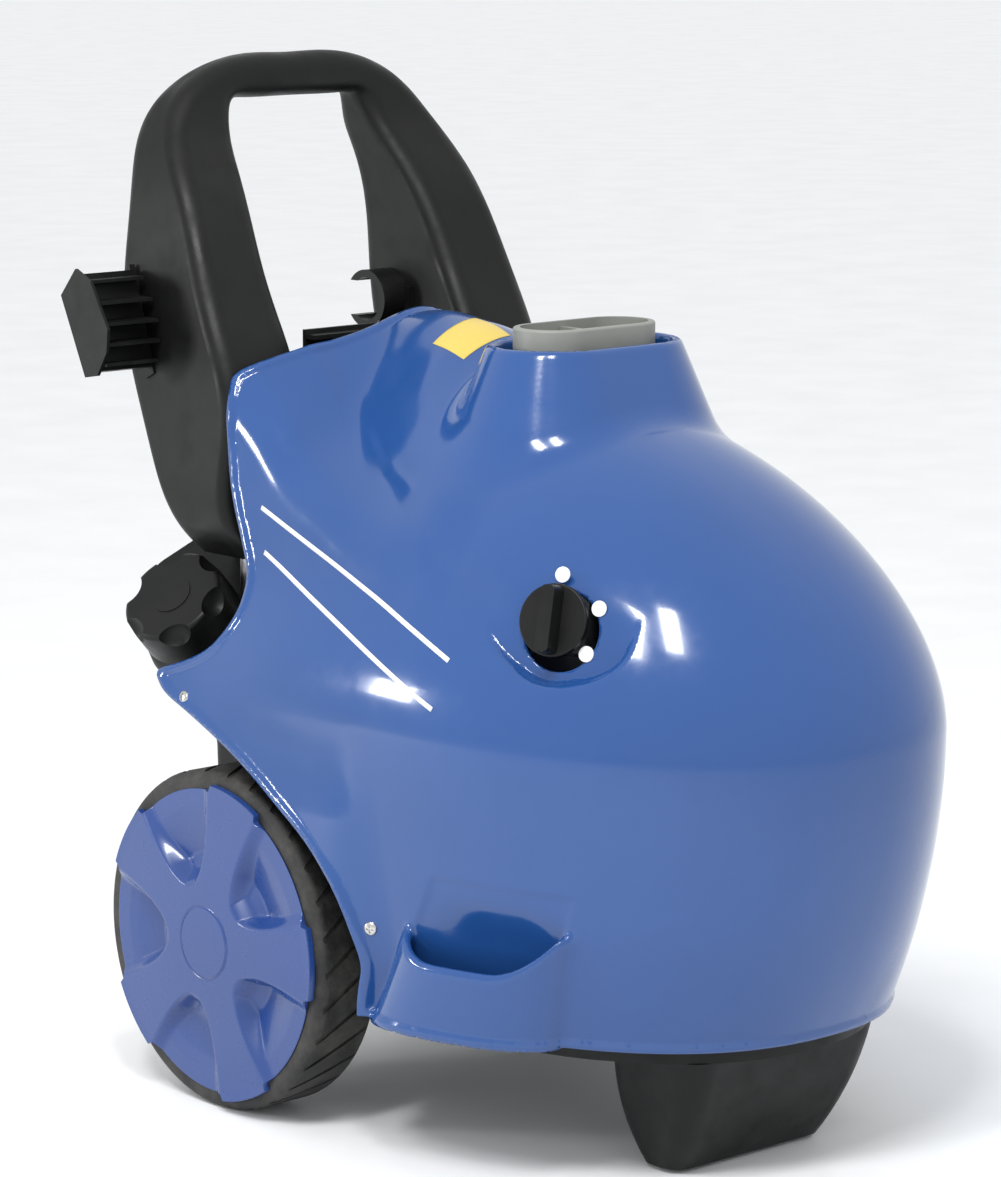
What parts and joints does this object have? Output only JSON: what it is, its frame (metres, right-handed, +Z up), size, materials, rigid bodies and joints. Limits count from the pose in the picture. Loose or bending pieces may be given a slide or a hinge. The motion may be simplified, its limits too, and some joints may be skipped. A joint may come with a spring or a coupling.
{
  "type": "hot-water pressure washer",
  "caption": "Compact wheeled hot-water steam cleaner with a domed blue hood, rear push handle, flue outlet, rotary switch, fuel tank and lance pocket.",
  "frame": {"origin": "on the floor under the middle of the machine's outer box", "axes": "+Z up, -Y towards the nose, -X towards the machine's right side (switch side)"},
  "size_m": [0.522, 0.7814, 0.9037],
  "materials": {
    "black_plastic": "satin",
    "blue_hood": "gloss",
    "blue_hubcap": "satin",
    "grey_flue": "satin",
    "white_marker": "satin",
    "tyre_rubber": "matte",
    "seal_rubber": "matte",
    "stainless": "brushed",
    "plain_steel": "satin",
    "sheet_steel": "satin",
    "dark_paint": "satin",
    "cast_aluminium": "cast",
    "brass": "satin",
    "nylon": "satin"
  },
  "bodies": {
    "root": {"chassis_base": "black_plastic", "front_foot": "black_plastic", "handle_frame": "black_plastic", "hose_hook": "black_plastic", "lance_clip": "black_plastic", "rear_panel": "black_plastic", "fuel_tank": "black_plastic", "control_box": "black_plastic", "control_box_cover": "black_plastic", "motor_fan_cover": "black_plastic", "terminal_box": "black_plastic", "cable_gland": "black_plastic", "blower_housing": "black_plastic", "hood": "blue_hood", "chimney": "grey_flue", "switch_markers": "white_marker", "foot_pads": "seal_rubber", "rubber_mounts": "seal_rubber", "hood_screws": "stainless", "fuel_strainer": "stainless", "boiler_coil": "stainless", "axle": "plain_steel", "axle_collars": "plain_steel", "handle_posts": "plain_steel", "steel_brackets": "plain_steel", "fuel_line": "plain_steel", "boiler_shell": "sheet_steel", "flue_duct": "sheet_steel", "burner_head": "sheet_steel", "blower_motor": "dark_paint", "ignition_transformer": "dark_paint", "contactor": "dark_paint", "switch_body": "dark_paint", "motor_body": "cast_aluminium", "pump_body": "cast_aluminium", "fuel_pump": "cast_aluminium", "pump_head": "brass", "unloader_valve": "brass", "water_inlet": "brass", "pressure_outlet": "brass", "water_pipe": "brass", "pump_pipe": "brass", "outlet_pipe": "brass"},
    "wheel_right": {"tyre_right": "tyre_rubber", "rim_right": "black_plastic", "wheel_bush_right": "nylon", "hubcap_right": "blue_hubcap"},
    "wheel_left": {"tyre_left": "tyre_rubber", "rim_left": "black_plastic", "wheel_bush_left": "nylon", "hubcap_left": "blue_hubcap"},
    "switch_knob": {"switch_knob": "black_plastic"},
    "fuel_cap": {"fuel_cap_plug": "black_plastic", "fuel_cap_seal": "seal_rubber"},
    "fuel_cap_grip": {"fuel_cap_grip": "black_plastic"},
    "motor_rotor": {"motor_rotor": "plain_steel", "motor_fan": "black_plastic", "wobble_plate": "plain_steel"},
    "burner_fan": {"blower_wheel": "sheet_steel"},
    "pressure_knob": {"pressure_knob": "black_plastic"}
  },
  "joints": [
    {"name": "wheel_right_spin", "type": "hinge", "parent": "root", "child": "wheel_right", "pos_m": [-0.2175, 0.165, 0.15], "axis": [1, 0, 0], "continuous": true},
    {"name": "wheel_left_spin", "type": "hinge", "parent": "root", "child": "wheel_left", "pos_m": [0.2175, 0.165, 0.15], "axis": [1, 0, 0], "continuous": true},
    {"name": "switch_turn", "type": "hinge", "parent": "root", "child": "switch_knob", "pos_m": [-0.176, -0.197, 0.473], "axis": [-0.8924, -0.361, 0.2707], "range_deg": [-120, 0]},
    {"name": "fuel_cap_lift", "type": "slide", "parent": "root", "child": "fuel_cap", "axis": [-0.7005, -0.1801, 0.6905], "range_m": [0, 0.06]},
    {"name": "fuel_cap_turn", "type": "hinge", "parent": "fuel_cap", "child": "fuel_cap_grip", "pos_m": [-0.17698, 0.28421, 0.40838], "axis": [-0.7005, -0.1801, 0.6905], "continuous": true},
    {"name": "motor_spin", "type": "hinge", "parent": "root", "child": "motor_rotor", "pos_m": [-0.095, 0.145, 0.385], "axis": [0, 0, 1], "continuous": true},
    {"name": "burner_fan_spin", "type": "hinge", "parent": "root", "child": "burner_fan", "pos_m": [0.095, 0.14, 0.3], "axis": [0, 0, 1], "continuous": true},
    {"name": "pressure_turn", "type": "hinge", "parent": "root", "child": "pressure_knob", "pos_m": [-0.095, 0.07, 0.24], "axis": [0, 0, 1], "range_deg": [0, 720]}
  ]
}
